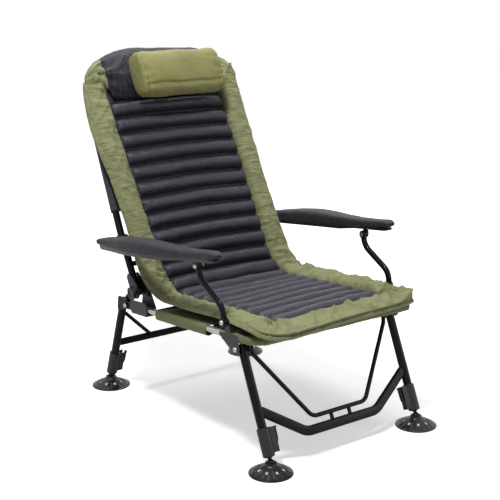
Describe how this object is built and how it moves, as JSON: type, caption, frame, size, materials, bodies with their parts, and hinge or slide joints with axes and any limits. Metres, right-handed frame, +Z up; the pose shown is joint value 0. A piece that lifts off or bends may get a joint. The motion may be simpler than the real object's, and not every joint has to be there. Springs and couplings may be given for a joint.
{
  "type": "reclining fishing chair",
  "caption": "Folding reclining outdoor chair: tubular frame, folding legs with clamped extensions and swivel mud feet, parallel-moving armrests, ribbed mattress and sliding pillow.",
  "frame": {"origin": "on the ground under the centre of the whole chair's bounding box", "axes": "+Z up; the chair faces -Y; X runs across it and +X is the sitter's left"},
  "size_m": [0.7338, 1.0638, 1.081],
  "materials": {
    "black_gloss_paint": "gloss black powder coat",
    "dark_satin_paint": "satin dark grey powder coat",
    "grey_steel": "mid-grey plated steel",
    "bright_steel": "bright plated",
    "black_plastic": "moulded black",
    "grey_plastic": "moulded dark grey",
    "charcoal_foam": "soft matt armrest foam",
    "charcoal_cloth": "woven, quilted in ribs",
    "pillow_cloth": "olive woven cloth",
    "sling_cloth": "olive woven sling"
  },
  "bodies": {
    "seat": {"seat_frame_tube": "bright_steel", "seat_cross_tube": "black_gloss_paint", "seat_sling": "sling_cloth", "mattress_seat": "charcoal_cloth", "front_bracket_left": "grey_steel", "front_bracket_right": "grey_steel", "hinge_bracket_left": "grey_steel", "hinge_bracket_right": "grey_steel", "lock_disc_left": "black_plastic", "lock_disc_right": "black_plastic", "arm_lower_bolt_left": "bright_steel", "arm_lower_bolt_right": "bright_steel"},
    "backrest": {"back_frame_tube": "black_gloss_paint", "back_cross_tube": "black_gloss_paint", "back_sling": "charcoal_cloth", "back_bracket_left": "grey_steel", "back_bracket_right": "grey_steel", "armrest_pivot_block_left": "black_plastic", "armrest_pivot_block_right": "black_plastic", "mattress_back": "charcoal_cloth", "mattress_bend": "charcoal_cloth"},
    "pillow": {"pillow": "pillow_cloth"},
    "knob_left": {"recline_knob_left": "black_plastic"},
    "knob_right": {"recline_knob_right": "black_plastic"},
    "support_left": {"arm_support_left": "black_gloss_paint", "arm_upper_bolt_left": "bright_steel"},
    "support_right": {"arm_support_right": "black_gloss_paint", "arm_upper_bolt_right": "bright_steel"},
    "armrest_left": {"armrest_tray_left": "black_plastic", "armrest_pad_left": "charcoal_foam"},
    "armrest_right": {"armrest_tray_right": "black_plastic", "armrest_pad_right": "charcoal_foam"},
    "front_legs": {"front_leg_tube_left": "black_gloss_paint", "front_leg_tube_right": "black_gloss_paint", "front_crossbar": "dark_satin_paint", "front_brace": "dark_satin_paint", "front_leg_bolt_left": "bright_steel", "front_leg_bolt_right": "bright_steel", "front_leg_clamp_left": "grey_plastic", "front_leg_clamp_right": "grey_plastic"},
    "rear_legs": {"rear_leg_tube_left": "dark_satin_paint", "rear_leg_tube_right": "dark_satin_paint", "rear_crossbar": "dark_satin_paint", "rear_leg_bolt_left": "bright_steel", "rear_leg_bolt_right": "bright_steel", "rear_leg_clamp_left": "grey_plastic", "rear_leg_clamp_right": "grey_plastic"},
    "front_extension_left": {"front_leg_extension_left": "black_gloss_paint"},
    "front_extension_right": {"front_leg_extension_right": "black_gloss_paint"},
    "rear_extension_left": {"rear_leg_extension_left": "black_gloss_paint"},
    "rear_extension_right": {"rear_leg_extension_right": "black_gloss_paint"},
    "front_foot_left": {"front_foot_left": "black_plastic"},
    "front_foot_right": {"front_foot_right": "black_plastic"},
    "rear_foot_left": {"rear_foot_left": "black_plastic"},
    "rear_foot_right": {"rear_foot_right": "black_plastic"},
    "front_lever_left": {"front_clamp_lever_left": "grey_plastic"},
    "front_lever_right": {"front_clamp_lever_right": "grey_plastic"},
    "rear_lever_left": {"rear_clamp_lever_left": "grey_plastic"},
    "rear_lever_right": {"rear_clamp_lever_right": "grey_plastic"}
  },
  "joints": [
    {"name": "recline", "type": "hinge", "parent": "seat", "child": "backrest", "pos_m": [0, 0.15939, 0.36383], "axis": [1, 0, 0], "range_deg": [-35, 105], "deforming": ["mattress_seat", "mattress_bend", "mattress_back"]},
    {"name": "pillow_slide", "type": "slide", "parent": "backrest", "child": "pillow", "axis": [0, 0.4695, 0.8829], "range_m": [-0.12, 0.02]},
    {"name": "knob_left_turn", "type": "hinge", "parent": "backrest", "child": "knob_left", "pos_m": [0.305, 0.15939, 0.36383], "axis": [1, 0, 0], "continuous": true},
    {"name": "knob_right_turn", "type": "hinge", "parent": "backrest", "child": "knob_right", "pos_m": [-0.305, 0.15939, 0.36383], "axis": [1, 0, 0], "continuous": true},
    {"name": "support_left_turn", "type": "hinge", "parent": "seat", "child": "support_left", "pos_m": [0.305, -0.3081, 0.38804], "axis": [1, 0, 0], "range_deg": [-35, 105]},
    {"name": "support_right_turn", "type": "hinge", "parent": "seat", "child": "support_right", "pos_m": [-0.305, -0.3081, 0.38804], "axis": [1, 0, 0], "range_deg": [-35, 105]},
    {"name": "armrest_left_turn", "type": "hinge", "parent": "backrest", "child": "armrest_left", "pos_m": [0.295, 0.27539, 0.49783], "axis": [1, 0, 0], "range_deg": [-105, 35]},
    {"name": "armrest_right_turn", "type": "hinge", "parent": "backrest", "child": "armrest_right", "pos_m": [-0.295, 0.27539, 0.49783], "axis": [1, 0, 0], "range_deg": [-105, 35]},
    {"name": "front_legs_fold", "type": "hinge", "parent": "seat", "child": "front_legs", "pos_m": [0, -0.34538, 0.31811], "axis": [1, 0, 0], "range_deg": [0, 100]},
    {"name": "rear_legs_fold", "type": "hinge", "parent": "seat", "child": "rear_legs", "pos_m": [0, 0.24001, 0.30169], "axis": [1, 0, 0], "range_deg": [-100, 0]},
    {"name": "front_extension_left_slide", "type": "slide", "parent": "front_legs", "child": "front_extension_left", "axis": [0, -0.3971, -0.9178], "range_m": [0, 0.1]},
    {"name": "front_extension_right_slide", "type": "slide", "parent": "front_legs", "child": "front_extension_right", "axis": [0, -0.3971, -0.9178], "range_m": [0, 0.1]},
    {"name": "rear_extension_left_slide", "type": "slide", "parent": "rear_legs", "child": "rear_extension_left", "axis": [0, 0.3256, -0.9455], "range_m": [0, 0.1]},
    {"name": "rear_extension_right_slide", "type": "slide", "parent": "rear_legs", "child": "rear_extension_right", "axis": [0, 0.3256, -0.9455], "range_m": [0, 0.1]},
    {"name": "front_foot_left_tilt", "type": "hinge", "parent": "front_extension_left", "child": "front_foot_left", "pos_m": [0.2715, -0.47093, 0.028], "axis": [1, 0, 0], "range_deg": [-15, 15]},
    {"name": "front_foot_right_tilt", "type": "hinge", "parent": "front_extension_right", "child": "front_foot_right", "pos_m": [-0.2715, -0.47093, 0.028], "axis": [1, 0, 0], "range_deg": [-15, 15]},
    {"name": "rear_foot_left_tilt", "type": "hinge", "parent": "rear_extension_left", "child": "rear_foot_left", "pos_m": [0.2715, 0.36978, 0.028], "axis": [1, 0, 0], "range_deg": [-15, 15]},
    {"name": "rear_foot_right_tilt", "type": "hinge", "parent": "rear_extension_right", "child": "rear_foot_right", "pos_m": [-0.2715, 0.36978, 0.028], "axis": [1, 0, 0], "range_deg": [-15, 15]},
    {"name": "front_lever_left_open", "type": "hinge", "parent": "front_legs", "child": "front_lever_left", "pos_m": [0.2455, -0.45663, 0.06104], "axis": [0, -0.9178, 0.3971], "range_deg": [0, 80]},
    {"name": "front_lever_right_open", "type": "hinge", "parent": "front_legs", "child": "front_lever_right", "pos_m": [-0.2455, -0.45663, 0.06104], "axis": [0, 0.9178, -0.3971], "range_deg": [0, 80]},
    {"name": "rear_lever_left_open", "type": "hinge", "parent": "rear_legs", "child": "rear_lever_left", "pos_m": [0.2455, 0.35806, 0.06204], "axis": [0, -0.9455, -0.3256], "range_deg": [0, 80]},
    {"name": "rear_lever_right_open", "type": "hinge", "parent": "rear_legs", "child": "rear_lever_right", "pos_m": [-0.2455, 0.35806, 0.06204], "axis": [0, 0.9455, 0.3256], "range_deg": [0, 80]}
  ],
  "couplings": [
    {"joint": "support_left_turn", "follows": "recline", "ratio": 1},
    {"joint": "support_right_turn", "follows": "recline", "ratio": 1},
    {"joint": "armrest_left_turn", "follows": "recline", "ratio": -1},
    {"joint": "armrest_right_turn", "follows": "recline", "ratio": -1}
  ]
}
